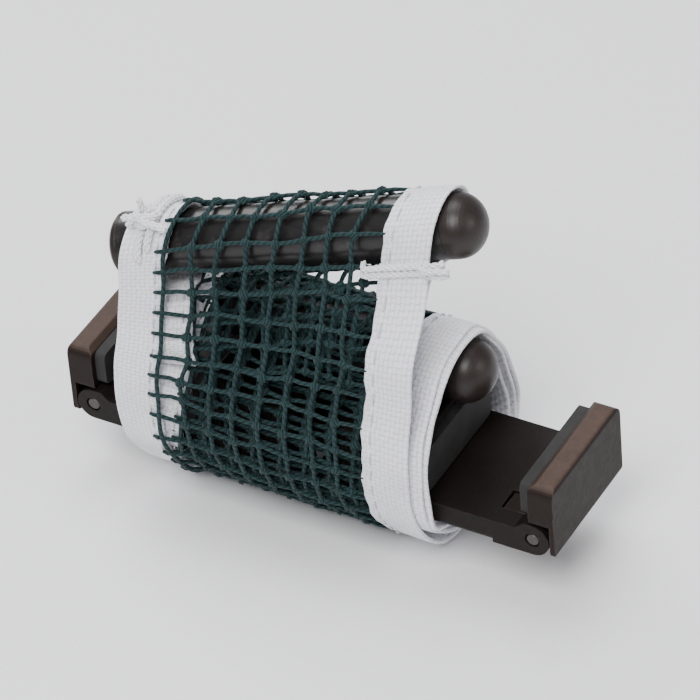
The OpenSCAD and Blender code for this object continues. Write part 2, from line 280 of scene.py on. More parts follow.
def wobble(s, x, first):
    """smooth wobble in about -1..1; first picks its four phases"""
    phase = PHASES[first:first + 4]
    return (np.sin(s * 0.31 + phase[0] + 0.11 * x)
            + np.sin(s * 0.73 + phase[1] - 0.23 * x) * 0.6
            + np.sin(s * 0.127 + x * 0.37 + phase[2]) * 0.8
            + np.sin(x * 0.9 + s * 0.05 + phase[3]) * 0.4) / 2.4


def sheet(s, x, lift=0.0):
    """point of the sheet at length s along the winding and station x, moved out by lift"""
    s, x = np.broadcast_arrays(np.asarray(s, float), np.asarray(x, float))
    lift = np.broadcast_to(np.asarray(lift, float), s.shape)
    t = (x - X_LEFT) / (X_RIGHT - X_LEFT)

    def section(s):
        i = np.interp(s, LENGTHS, INDEX)
        return [np.interp(i, INDEX, PATH_FOOT[:, axis]) * (1 - t)
                + np.interp(i, INDEX, PATH_HEAD[:, axis]) * t for axis in (0, 1)]
    y0, z0 = section(s - 0.25)
    y1, z1 = section(s + 0.25)
    dy, dz = y1 - y0, z1 - z0
    step = np.sqrt(dy * dy + dz * dz) + 1e-9
    out_y, out_z = -dz / step, dy / step
    y, z = section(s)
    # the free panel and the tail belly to the front: high up towards the head rim,
    # and a little lower down all along
    to_head = smooth01((x - 2.0) / 16.0)
    free = smooth01((s - (S_ROLL - 14)) / 10) * smooth01((S_PANEL + 4 - s) / 8)
    free = np.maximum(free, smooth01((s - S_ARC - 5) / 4))
    y = y - to_head * free * 2.1 * np.exp(-((z - 32.5) / 5.4) ** 2)
    y = y - 0.5 * free * np.exp(-((z - 24) / 6.0) ** 2)
    # round the outer post the sheet is stretched smoother and stands off the tube
    ripple = 0.16 * wobble(s, x, 0)
    on_post = smooth01((s - S_PANEL + 4) / 4) * smooth01((S_ARC + 3 - s) / 4)
    ripple = ripple * (1 - 0.6 * on_post) + 0.16 * on_post
    y = y + out_y * (lift + ripple)
    z = z + out_z * (lift + ripple)
    # near the floor the foot rim slips less
    grip = 0.25 + 0.75 * smooth01((z - 6) / 20)
    slip = (np.interp(s, SLIP_S, SLIP[:, 1]) * (1 - t) * grip
            + np.interp(s, SLIP_S, SLIP[:, 2]) * t)
    z = np.maximum(z, 0.28)
    return np.stack([x + slip + 0.22 * wobble(s, 0.0, 8), y, z], -1)


# ------------------------------------------------------------------ mesh building
def carried_frame(path, reference):
    """two unit vectors square to the path at each point, carried along without twist;
    reference is a function of the first direction"""
    along = np.gradient(path, axis=0)
    along /= np.linalg.norm(along, axis=1, keepdims=True) + 1e-12
    across = [unit(np.cross(along[0], reference(along[0])))]
    for direction in along[1:]:
        last = across[-1]
        across.append(unit(last - direction * (last @ direction)))
    across = np.array(across)
    return across, np.cross(along, across)


def tube_reference(direction):
    slant = np.array([0.31, 0.57, 0.76])
    return slant if abs(direction @ slant) < 0.9 else np.array([1.0, 0, 0])


def link_object(name, mesh):
    ob = bpy.data.objects.new(name, mesh)
    bpy.context.scene.collection.objects.link(ob)
    return ob


class Builder:
    """gathers vertices, faces and their UVs into one mesh"""

    def __init__(self):
        self.verts, self.faces, self.uvs, self.count = [], [], [], 0

    def add(self, verts, faces, uvs):
        self.verts.append(verts)
        self.faces += [tuple(int(i) + self.count for i in face) for face in faces]
        self.uvs += uvs
        self.count += len(verts)

    def tube(self, path, radius, sides):
        """closed tube with UVs (length, turn 0..1)"""
        path = np.asarray(path, float)
        count = len(path)
        us, vs = carried_frame(path, tube_reference)
        radius = np.broadcast_to(np.asarray(radius, float), (count,))
        angle = np.arange(sides) * 2 * math.pi / sides
        ring = path[:, None, :] + radius[:, None, None] * (
            np.cos(angle)[None, :, None] * us[:, None, :]
            + np.sin(angle)[None, :, None] * vs[:, None, :])
        length = lengths_along(path)
        faces, uvs = [], []
        for i in range(count - 1):
            for j in range(sides):
                j2 = (j + 1) % sides
                faces.append((i * sides + j, i * sides + j2,
                              (i + 1) * sides + j2, (i + 1) * sides + j))
                uvs.append(((length[i], j / sides), (length[i], (j + 1) / sides),
                            (length[i + 1], (j + 1) / sides), (length[i + 1], j / sides)))
        faces.append(tuple(range(sides))[::-1])
        uvs.append(((length[0], 0.5),) * sides)
        faces.append(tuple((count - 1) * sides + j for j in range(sides)))
        uvs.append(((length[-1], 0.5),) * sides)
        self.add(ring.reshape(-1, 3), faces, uvs)

    def build(self, name, material, body):
        mesh = bpy.data.meshes.new(name)
        mesh.from_pydata((np.vstack(self.verts) * MM).tolist(), [], self.faces)
        layer = mesh.uv_layers.new(name="UVMap")
        flat = np.array([uv for face in self.uvs for uv in face], np.float32).ravel()
        layer.data.foreach_set("uv", flat)
        mesh.polygons.foreach_set("use_smooth", [True] * len(mesh.polygons))
        mesh.update()
        ob = link_object(name, mesh)
        ob.data.materials.append(material)
        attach(ob, body)
        return ob


# ------------------------------------------------------------------ shader helper
class Shader:
    """a Principled material; inputs take plain values or node outputs.
    Noise scales and bump distances are in metres."""

    def __init__(self, name):
        self.material = bpy.data.materials.new(name)
        self.material.use_nodes = True
        self.tree = self.material.node_tree
        self.tree.nodes.clear()
        output = self.node("OutputMaterial")
        self.principled = self.node("BsdfPrincipled")
        self.tree.links.new(self.principled.outputs[0], output.inputs[0])
        self.coords = self.node("TexCoord").outputs["Object"]

    def node(self, kind):
        return self.tree.nodes.new("ShaderNode" + kind)

    def feed(self, socket, value):
        if isinstance(value, bpy.types.NodeSocket):
            self.tree.links.new(value, socket)
        else:
            socket.default_value = value

    def set(self, inputs):
        for name, value in inputs.items():
            self.feed(self.principled.inputs[name], value)

    def calc(self, operation, *values):
        node = self.node("Math")
        node.operation = operation
        for i, value in enumerate(values):
            self.feed(node.inputs[i], value)
        return node.outputs[0]

    def add(self, a, b):
        return self.calc("ADD", a, b)

    def times(self, a, b):
        return self.calc("MULTIPLY", a, b)

    def mix(self, factor, first, second):
        node = self.node("Mix")
        node.data_type = "RGBA"
        self.feed(node.inputs[0], factor)
        for i, colour in ((6, first), (7, second)):
            self.feed(node.inputs[i], (*colour, 1) if isinstance(colour, tuple) else colour)
        return node.outputs[2]

    def ramp(self, factor, stops):
        """stops: (position, colour), rising"""
        node = self.node("ValToRGB")
        elements = node.color_ramp.elements
        while len(elements) > 1:
            elements.remove(elements[-1])
        elements[0].position, elements[0].color = stops[0][0], (*stops[0][1], 1)
        for position, colour in stops[1:]:
            elements.new(position).color = (*colour, 1)
        self.tree.links.new(factor, node.inputs[0])
        return node.outputs[0]

    def grey_ramp(self, factor, start, end, low=0, high=1):
        """grey low at position start, high at end"""
        return self.ramp(factor, [(start, (low,) * 3), (end, (high,) * 3)])

    def noise(self, scale, detail, rough=0.55, vector=None):
        node = self.node("TexNoise")
        node.inputs["Scale"].default_value = scale
        node.inputs["Detail"].default_value = detail
        node.inputs["Roughness"].default_value = rough
        self.tree.links.new(vector or self.coords, node.inputs["Vector"])
        return node.outputs[0]

    def stretched(self, scale):
        node = self.node("Mapping")
        node.inputs["Scale"].default_value = scale
        self.tree.links.new(self.coords, node.inputs[0])
        return node.outputs[0]

    def separate(self, vector):
        node = self.node("SeparateXYZ")
        self.tree.links.new(vector, node.inputs[0])
        return node.outputs

    def uv(self):
        node = self.node("UVMap")
        node.uv_map = "UVMap"
        parts = self.separate(node.outputs[0])
        return parts[0], parts[1]

    def bump(self, height, strength, distance, normal=None):
        node = self.node("Bump")
        node.inputs["Strength"].default_value = strength
        node.inputs["Distance"].default_value = distance
        self.tree.links.new(height, node.inputs["Height"])
        if normal is not None:
            self.tree.links.new(normal, node.inputs["Normal"])
        return node.outputs[0]


# ------------------------------------------------------------------ materials
def yarn_material(name, dark, middle, light, pitch, strands=2.0, fuzz=0.35, sheen=0.25,
                  specular=0.5):
    """twisted yarn on a tube whose UVs are (length, turn 0..1)"""
    shader = Shader(name)
    along, around = shader.uv()
    twist = shader.add(shader.times(along, 1.0 / pitch), shader.times(around, strands))
    wave = shader.calc("ABSOLUTE", shader.calc("SINE", shader.times(twist, math.pi)))
    fibre = shader.noise(scale=9000, detail=4)
    patches = shader.noise(scale=260, detail=3)
    # painted shade and painted highlight: the twist's grooves take the dark colour and its
    # crowns the light one
    colour = shader.ramp(wave, [(0.0, dark), (0.45, middle), (1.0, light)])
    colour = shader.mix(shader.times(fibre, 0.5), colour, light)
    colour = shader.mix(shader.times(patches, 0.6), colour, dark)
    height = shader.add(wave, shader.times(fibre, fuzz))
    shader.set({
        "Base Color": colour,
        "Roughness": 0.62,
        "Specular IOR Level": specular,
        "Sheen Weight": sheen,
        "Sheen Roughness": 0.5,
        "Normal": shader.bump(height, strength=0.8, distance=0.00012)})
    return shader.material


def tape_material(name, base, shade, thread_pitch=0.62):
    """plain weave; UVs are (length, width)"""
    shader = Shader(name)
    along, across = shader.uv()
    along = shader.times(along, math.pi / thread_pitch)
    across = shader.times(across, math.pi / thread_pitch)
    sine_along, sine_across = shader.calc("SINE", along), shader.calc("SINE", across)
    checker = shader.times(sine_along, sine_across)
    over = shader.calc("GREATER_THAN", checker, 0.0)
    warp = shader.calc("ABSOLUTE", sine_along)
    weft = shader.calc("ABSOLUTE", sine_across)
    # the power rounds the thread's crown, the factor is its height
    warp = shader.times(shader.calc("POWER", warp, 0.6), 1.0)
    weft = shader.times(shader.calc("POWER", weft, 0.6), 1.0)
    weave = shader.add(shader.times(warp, over),
                       shader.times(weft, shader.calc("SUBTRACT", 1.0, over)))
    fibre = shader.noise(scale=7000, detail=4)
    dirt = shader.noise(scale=170, detail=4)
    ripple = shader.noise(scale=700, detail=3)
    between = tuple(0.5 * (x + y) for x, y in zip(shade, base))
    colour = shader.ramp(weave, [(0.0, shade), (0.55, between), (1.0, base)])
    colour = shader.mix(shader.times(fibre, 0.25), colour, shade)
    dirt = shader.grey_ramp(dirt, start=0.42, end=0.75)
    soiled = (shade[0] * 0.86, shade[1] * 0.84, shade[2] * 0.86)
    colour = shader.mix(shader.times(dirt, 0.35), colour, soiled)
    height = shader.add(weave, shader.times(fibre, 0.4))
    threads = shader.bump(height, strength=0.65, distance=0.00016)
    shader.set({
        "Base Color": colour,
        "Roughness": 0.72,
        "Sheen Weight": 0.3,
        "Sheen Roughness": 0.45,
        "Subsurface Weight": 0.08,
        "Subsurface Radius": (0.4, 0.4, 0.4),
        "Subsurface Scale": 0.0006,
        "Normal": shader.bump(ripple, strength=0.25, distance=0.0004, normal=threads)})
    return shader.material


def plastic_material(name, base, light, rough, wear, specular, top=None, crest=0.0):
    """moulding with light worn edges; top is a painted highlight colour laid on what faces up
    above the height crest
    """
    shader = Shader(name)
    grain = shader.noise(scale=5200, detail=3)
    patches = shader.noise(scale=220, detail=4)
    mottle = shader.noise(scale=1100, detail=4)
    # edges show where the bevelled normal leaves the true one
    geometry = shader.node("NewGeometry")
    bevel = shader.node("Bevel")
    bevel.samples = 6
    bevel.inputs["Radius"].default_value = 0.00022
    rounded = bevel.outputs[0]
    dot = shader.node("VectorMath")
    dot.operation = "DOT_PRODUCT"
    shader.feed(dot.inputs[0], rounded)
    shader.feed(dot.inputs[1], geometry.outputs["Normal"])
    edge = shader.grey_ramp(dot.outputs["Value"], start=0.80, end=0.985, low=1, high=0)
    uneven = shader.grey_ramp(mottle, start=0.35, end=0.7, low=0.1)
    worn = shader.times(edge, shader.times(uneven, wear))
    colour = shader.mix(shader.times(patches, 0.7), base, tuple(x * 1.7 + 0.004 for x in base))
    colour = shader.mix(worn, colour, light)
    # painted highlight: faces turned up above the crest take the top colour, as if lit from
    # above
    if top:
        facing = shader.separate(rounded)[2]
        height = shader.separate(shader.coords)[2]
        painted_highlight_mask = shader.times(shader.grey_ramp(facing, start=0.55, end=0.95),
                              shader.calc("GREATER_THAN", height, crest))
        strength = shader.add(0.45, shader.times(mottle, 0.5))
        colour = shader.mix(shader.times(painted_highlight_mask, strength), colour, top)
    uneven_skin = shader.bump(patches, strength=0.12, distance=0.0002, normal=rounded)
    shader.set({
        "Base Color": colour,
        "Roughness": shader.add(rough - 0.08, shader.times(mottle, 0.2)),
        "Specular IOR Level": specular,
        "Normal": shader.bump(grain, strength=0.22, distance=0.00006, normal=uneven_skin)})
    return shader.material


def paint_material(name, base, scuffed):
    shader = Shader(name)
    orange_peel = shader.noise(scale=1500, detail=2)
    scuff = shader.noise(scale=420, detail=5, rough=0.7)
    drag = shader.noise(scale=1.0, detail=3, vector=shader.stretched((60, 1400, 1400)))
    scuff = shader.grey_ramp(scuff, start=0.55, end=0.8, high=0.5)
    shader.set({
        "Base Color": shader.mix(scuff, base, scuffed),
        "Roughness": shader.add(0.24, shader.times(drag, 0.3)),
        "Specular IOR Level": 0.35,
        "Coat Weight": 0.18,
        "Coat Roughness": 0.2,
        "Normal": shader.bump(orange_peel, strength=0.15, distance=0.00008)})
    return shader.material


def steel_material(name, dark, light, rough):
    shader = Shader(name)
    drawn = shader.noise(scale=1.0, detail=4, vector=shader.stretched((4000, 300, 4000)))
    shader.set({
        "Base Color": shader.mix(drawn, dark, light),
        "Metallic": 1.0,
        "Roughness": shader.add(rough, shader.times(drawn, 0.22)),
        "Normal": shader.bump(drawn, strength=0.2, distance=0.00003)})
    return shader.material


def rubber_material(name, dark, light):
    shader = Shader(name)
    grain = shader.noise(scale=4200, detail=4, rough=0.7)
    patches = shader.noise(scale=350, detail=3)
    shader.set({
        "Base Color": shader.mix(patches, dark, light),
        "Roughness": 0.78,
        "Specular IOR Level": 0.35,
        "Normal": shader.bump(grain, strength=0.35, distance=0.0001)})
    return shader.material


TWINE = yarn_material(
    "net_twine_yarn", dark=(0.0018, 0.0065, 0.0070), middle=(0.006, 0.021, 0.0225),
    light=(0.018, 0.050, 0.052), pitch=0.9, sheen=0.04, specular=0.16)
KNOT = yarn_material(
    "net_knot_yarn", dark=(0.0018, 0.0065, 0.0070), middle=(0.007, 0.023, 0.0245),
    light=(0.020, 0.054, 0.056), pitch=0.7, sheen=0.04, specular=0.16)
TAPE = tape_material("edge_tape_weave", base=(0.86, 0.86, 0.89), shade=(0.60, 0.60, 0.66))
THREAD = yarn_material(
    "tape_thread", dark=(0.42, 0.42, 0.46), middle=(0.62, 0.62, 0.66),
    light=(0.80, 0.80, 0.83), pitch=0.5, fuzz=0.2)
CORD = yarn_material(
    "tie_cord_yarn", dark=(0.58, 0.58, 0.61), middle=(0.80, 0.80, 0.82),
    light=(0.93, 0.93, 0.94), pitch=0.55, strands=3.0, fuzz=0.25)
CLAMP_PLASTIC = plastic_material(
    "clamp_moulding", base=(0.0050, 0.0028, 0.0022), light=(0.10, 0.075, 0.062),
    rough=0.55, wear=0.45, specular=0.16)
# the lever's top colour is a painted highlight along its upturned top edge
LEVER_PLASTIC = plastic_material(
    "lever_moulding", base=(0.0085, 0.0046, 0.0035), light=(0.22, 0.175, 0.145),
    rough=0.52, wear=0.55, specular=0.13, top=(0.080, 0.054, 0.043),
    crest=(box_mm("right_jaw_lever")[1][2] - 1.6) * MM)
CAP_PLASTIC = plastic_material(
    "post_end_moulding", base=(0.0115, 0.0076, 0.0062), light=(0.07, 0.056, 0.047),
    rough=0.38, wear=0.2, specular=0.34)
PAINT = paint_material("post_enamel", base=(0.0065, 0.0055, 0.0052),
                       scuffed=(0.075, 0.068, 0.064))
STEEL = steel_material("spring_steel", dark=(0.42, 0.42, 0.44), light=(0.66, 0.66, 0.68),
                       rough=0.2)
BLACKED_STEEL = steel_material("blackened_pin_steel", dark=(0.045, 0.042, 0.04),
                               light=(0.12, 0.11, 0.105), rough=0.34)
RUBBER = rubber_material("pad_rubber_skin", dark=(0.010, 0.010, 0.010),
                         light=(0.032, 0.030, 0.029))

CLAMP_PARTS = {
    "_clamp_body": CLAMP_PLASTIC, "_jaw_lever": LEVER_PLASTIC, "_fixed_pad": RUBBER,
    "_jaw_pad": RUBBER, "_pivot_pin": BLACKED_STEEL, "_jaw_spring": STEEL}
POST_PARTS = {"_post_tube": PAINT, "_post_cap": CAP_PLASTIC, "_post_plug": CAP_PLASTIC}
for sides, parts in ((("right", "left"), CLAMP_PARTS), (("inner", "outer"), POST_PARTS)):
    for side in sides:
        for part, material in parts.items():
            slots = NODES[side + part].data.materials
            slots.clear()
            slots.append(material)

# ------------------------------------------------------------------ the knotted net
CELL = 3.45
X_SEWN_FOOT, X_SEWN_HEAD = X_LEFT + TAPE_WIDTH, X_RIGHT - TAPE_WIDTH
ROWS = int(round((X_SEWN_HEAD - X_SEWN_FOOT) / CELL))   # cells along X
COLS = int(S_TOTAL / CELL)                              # cells along the winding
GRID = (COLS + 1, ROWS + 1)
jitter_s = RNG.normal(0, 0.22, GRID)
jitter_x = RNG.normal(0, 0.20, GRID)
jitter_x[:, 0] *= 0.3
jitter_x[:, -1] *= 0.3
# the crossings: length along the winding, station and lift
KNOT_S = np.linspace(0.6, S_TOTAL - 0.6, COLS + 1)[:, None] + jitter_s
KNOT_X = np.linspace(X_SEWN_FOOT, X_SEWN_HEAD, ROWS + 1)[None, :] + jitter_x
KNOT_LIFT = RNG.normal(0, 0.10, GRID)


def through_knots(pick, cells, steps):
    """points along one line of crossings: cell position, share of the cell, s, x, lift"""
    q = np.arange(0, cells * steps + 1) / steps
    s, x, lift = (np.interp(q, np.arange(cells + 1), grid[pick])
                  for grid in (KNOT_S, KNOT_X, KNOT_LIFT))
    return q, q % 1.0, s, x, lift


def long_twine(net, j):
    """twine running along the winding"""
    q, part, s, x, lift = through_knots(np.s_[:, j], COLS, 3)
    x = x + 0.10 * np.sin(part * math.pi) * np.sin(q * 2.1 + j)
    lift = lift + 0.07 * np.sin(part * math.pi)
    if j == 0:                                  # the first lies on the foot tape's sewn edge
        lift = 0.3 * lift + 0.44
    net.tube(sheet(s, x, lift), 0.30, 6)


def cross_twine(net, i):
    """twine running from tape to tape"""
    q, part, s, x, lift = through_knots(np.s_[i], ROWS, 2)
    s = s + 0.14 * np.sin(part * math.pi) * np.sin(q * 1.7 + i * 1.3)
    lift = lift + 0.10 * np.sin(part * math.pi)
    # each end runs on into the tape: over it on the foot side, inside it on the head side
    lift[0] = 0.42
    lift[-1] = 0.05
    s = np.concatenate([[s[0], s[0]], s, [s[-1]]])
    x = np.concatenate([[x[0] - 1.25, x[0] - 0.55], x, [x[-1] + 0.5]])
    lift = np.concatenate([[TAPE_HALF + 0.22, TAPE_HALF + 0.30], lift, [0.0]])
    radius = np.full(len(x), 0.285)
    radius[[0, -2, -1]] = 0.2, 0.2, 0.08
    net.tube(sheet(s, x, lift), radius, 6)


def twines():
    net = Builder()
    for j in range(ROWS):       # the last line is hidden between the head tape's plies
        long_twine(net, j)
    for i in range(COLS + 1):
        cross_twine(net, i)
    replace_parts(net.build("net_twines", TWINE, "net_roll"), "net_mesh")


def knot_lump(around=10, bands=8):
    """one closed ridged ellipsoid: vertices and faces"""
    def point(i, j):
        theta = math.pi * i / bands
        phi = 2 * math.pi * j / around
        direction = np.array([math.sin(theta) * math.cos(phi),
                              math.sin(theta) * math.sin(phi), math.cos(theta)])
        ridge = 1 + 0.16 * math.sin(2 * phi + 3.2 * theta) + 0.10 * math.cos(3 * theta + phi)
        return direction * np.array([0.70, 0.57, 0.50]) * ridge

    verts = [point(0, 0)]
    verts += [point(i, j) for i in range(1, bands) for j in range(around)]
    verts.append(point(bands, around - 1))
    last = len(verts) - 1
    lowest = 1 + (bands - 2) * around
    faces = [(0, 1 + (j + 1) % around, 1 + j) for j in range(around)]
    for i in range(bands - 2):
        upper, lower = 1 + i * around, 1 + (i + 1) * around
        for j in range(around):
            j2 = (j + 1) % around
            faces.append((upper + j, upper + j2, lower + j2, lower + j))
    faces += [(last, lowest + j, lowest + (j + 1) % around) for j in range(around)]
    return np.array(verts), faces


def knots():
    """a lump at every crossing between the tapes"""
    lump, faces = knot_lump()
    uvs = [tuple((float(lump[k, 0] * 1.3 + lump[k, 2]), float(lump[k, 1])) for k in face)
           for face in faces]
    builder = Builder()
    centres = sheet(KNOT_S, KNOT_X, KNOT_LIFT + 0.04)
    along = sheet(KNOT_S + 0.4, KNOT_X, KNOT_LIFT) - sheet(KNOT_S - 0.4, KNOT_X, KNOT_LIFT)
    for i in range(COLS + 1):
        for j in range(1, ROWS):
            forward = unit(along[i, j])
            across = np.array([1.0, 0, 0])
            across = unit(across - forward * (across @ forward))
            normal = np.cross(forward, across)
            turn = 0.6 * math.sin(i * 1.7 + j * 2.9) + 0.7
            c, s = math.cos(turn), math.sin(turn)
            scale = 1.0 + 0.12 * math.sin(i * 3.1 + j)
            verts = centres[i, j] + scale * (
                lump[:, :1] * (forward * c + across * s)
                + lump[:, 1:2] * (-forward * s + across * c) + lump[:, 2:] * normal)
            builder.add(verts, faces, uvs)
    builder.build("net_knots", KNOT, "net_roll")


twines()
knots()

# ------------------------------------------------------------------ the folded edge tapes
STITCH = 2.4                                    # pitch of the running stitch
STITCH_INSET = 1.15                             # from the sewn edge to the stitch line


def tape_profile(width, flat_steps=9, fold_steps=5):
    """(distance from the fold, lift): outer ply, round the fold, inner ply back"""
    half = TAPE_HALF
    flat = [(width - half) * k / flat_steps for k in range(flat_steps + 1)]
    bend = [math.pi / 2 + math.pi * k / fold_steps for k in range(1, fold_steps)]
    return np.array([(width - f, half) for f in flat]
                    + [(half + half * math.cos(a), half * math.sin(a)) for a in bend]
                    + [(half + f, -half) for f in flat])


def tape(name, x_fold, x_sewn, node, phase):
    """binding folded over the net's edge, from its fold to its sewn edge"""
    s = np.linspace(0.2, S_TOTAL - 0.2, int((S_TOTAL - 0.4) / 0.8) + 1)
    width = abs(x_sewn - x_fold)
    inward = 1 if x_sewn > x_fold else -1
    profile = tape_profile(width)
    k = len(profile)
    along = np.repeat(s[:, None], k, 1)
    across = np.repeat(profile[None, :, 0], len(s), 0)
    lift = np.repeat(profile[None, :, 1], len(s), 0)
    # stitches draw the plies in along their line; the fold stays fuller
    line = np.exp(-((across - (width - STITCH_INSET)) / 0.5) ** 2)
    pull = 0.10 * line * (0.55 + 0.45 * np.cos(along * 2 * math.pi / STITCH))
    full = 0.07 * np.exp(-((across - 1.6) / 1.5) ** 2) * (
        1 + 0.3 * np.sin(along * 2 * math.pi / STITCH + phase)
        + 0.5 * wobble(along, across, 12))
    lift = lift + np.sign(lift) * (full - pull)
    edge_wave = (0.16 * np.sin(along * 2 * math.pi / 7.3 + phase)
                 + 0.12 * np.sin(along * 2 * math.pi / 3.1 + 2 * phase))
    across = across + edge_wave * smooth01(across / width) * 0.8
    verts = sheet(along, x_fold + inward * across, lift).reshape(-1, 3)

    girth = lengths_along(profile)
    girth = np.append(girth, girth[-1] + 0.5)
    faces, uvs = [], []
    for i in range(len(s) - 1):
        for j in range(k):
            j2 = (j + 1) % k
            face = (i * k + j, i * k + j2, (i + 1) * k + j2, (i + 1) * k + j)
            uv = ((s[i], girth[j]), (s[i], girth[j + 1]),
                  (s[i + 1], girth[j + 1]), (s[i + 1], girth[j]))
            faces.append(face[::inward])
            uvs.append(uv[::inward])
    # closed ends, as strips so that they stay flat
    for base, order in ((0, inward), ((len(s) - 1) * k, -inward)):
        for j in range(k // 2 - 1):
            face = (base + j, base + j + 1, base + k - 2 - j, base + k - 1 - j)
            faces.append(face[::order])
            uvs.append(tuple((0.0, 0.1 * q) for q in range(4)))
    builder = Builder()
    builder.add(verts, faces, uvs)
    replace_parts(builder.build(name, TAPE, "net_roll"), node)
    stitching(name + "_stitching", x_fold, inward, width)


def stitching(name, x_fold, inward, width):
    """running stitch beside the sewn edge, on the outer and the inner face"""
    thread = Builder()
    q = np.linspace(0, 1, 6)
    rise = np.sin(q * math.pi)
    lift = TAPE_HALF + 0.02 + 0.10 * rise - 0.07 * (1 - rise)
    for i in range(int((S_TOTAL - 2) / STITCH)):
        s = 1.0 + i * STITCH + q * STITCH * 0.62
        x = x_fold + inward * (width - STITCH_INSET + 0.05 * np.sin(i * 2.3))
        for face in (1, -1):
            thread.tube(sheet(s, np.full(6, x), face * lift),
                        [0.07, 0.12, 0.13, 0.13, 0.12, 0.07], 6)
    thread.build(name, THREAD, "net_roll")


tape("head_tape_fold", X_RIGHT, X_SEWN_HEAD, "head_tape", phase=0.4)
tape("foot_tape_fold", X_LEFT, X_SEWN_FOOT, "foot_tape", phase=1.9)


# ------------------------------------------------------------------ tie cords
def catmull(points, steps=8):
    """Catmull-Rom curve through the points"""
    p = np.array(points, float)
    p = np.vstack([2 * p[0] - p[1], p, 2 * p[-1] - p[-2]])
    out = []
    for i in range(1, len(p) - 2):
        for k in range(steps):
            t = k / steps
            out.append(0.5 * ((2 * p[i]) + (-p[i - 1] + p[i + 1]) * t
                              + (2 * p[i - 1] - 5 * p[i] + 4 * p[i + 1] - p[i + 2]) * t ** 2
                              + (-p[i - 1] + 3 * p[i] - 3 * p[i + 1] + p[i + 2]) * t ** 3))
    out.append(p[-2])
    return np.array(out)


def evenly(points, step):
    """the line resampled at an even step, with the lengths along it"""
    length = lengths_along(points)
    q = np.linspace(0, length[-1], max(3, int(length[-1] / step)))
    return np.stack([np.interp(q, length, points[:, k]) for k in range(3)], 1), q


def cord(builder, points, radius, lay=2.6):
    """three strands twisted together, one turn in each length of lay"""
    centre, length = evenly(catmull(points), 0.22)
    us, vs = carried_frame(centre, lambda direction: [0.3, 0.2, 0.93])
    strand_radius = np.full(len(centre), radius * 0.53)
    strand_radius[[0, -1]] *= 0.5
    for k in range(3):
        angle = length * 2 * math.pi / lay + k * 2 * math.pi / 3
        strand = centre + radius * 0.52 * (np.cos(angle)[:, None] * us
                                           + np.sin(angle)[:, None] * vs)
        builder.tube(strand, strand_radius, 7)


def before_panel(point, radius):
    """the point moved in Y until it clears the front of the panel by radius"""
    s = np.linspace(S_ROLL - 8, S_PANEL + 10, 300)
    x = min(max(point[0], X_LEFT), X_RIGHT)
    face = sheet(s, np.full(300, x), TAPE_HALF)
    # places well behind the point are ruled out
    i = int(np.argmin(abs(face[:, 2] - point[2]) + (face[:, 1] > point[1] + 6) * 50))
    point = point.copy()
    point[1] = face[i, 1] - radius
    return point


def laid_line(line, before, after):
    """the line with two more points at each end, as offsets from its ends"""
    return list(line[0] + np.array(before)) + line + list(line[-1] + np.array(after))


def head_cord():
    """two passes across the panel's front near the head rim, and a knot"""
    axis = unit(POST_END - POST_START)
    above = np.cross(axis, unit(np.cross([0, 0, 1.0], axis)))
    origin = POST_START + axis * ((X_RIGHT - POST_START[0]) / axis[0])
    below_axis, pass_pitch, gap = -1.5, 0.84, 0.42
    upper = [before_panel(origin + axis * u + above * below_axis, gap)
             for u in (-8.9, -7.0, -5.0, -3.0, -1.0, 0.3)]
    lower = [before_panel(p - np.array([0, 0, pass_pitch]), gap) for p in upper]
    builder = Builder()
    cord(builder, laid_line(upper, [(-0.65, 1.0, 0.15), (-0.55, 0.8, 0.1)],
                            [(0.75, 0.35, 0.1), (0.85, 0.95, 0.2)]), 0.43)
    cord(builder, laid_line(lower, [(-0.5, 1.6, 0), (-0.4, 0.5, 0)],
                            [(0.7, 0.35, 0.0), (0.8, 1.4, -0.1)]), 0.42)
    knot = upper[-1] + np.array([-0.2, -0.75, -0.35])
    # cord radius, then offsets (x, y, z) from the knot
    for radius, offsets in (
            (0.4, [(-1.4, 0.1, 0.45), (-0.7, -0.35, 0.35), (0.3, -0.35, 0.1),
                   (0.7, 0.2, -0.45), (0.1, 0.1, -0.8), (-0.5, -0.35, -0.4),
                   (-0.2, -0.6, 0.25), (0.6, -0.4, 0.5), (1.6, -0.1, 0.55),
                   (2.6, 0.2, 0.75)]),
            (0.38, [(0.2, -0.1, -0.3), (0.9, -0.2, -0.35), (1.8, 0.1, -0.3),
                    (2.4, 0.5, -0.1)])):
        cord(builder, knot + np.array(offsets), radius)
    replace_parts(builder.build("head_cord_tie", CORD, "net_roll"), "head_cord")


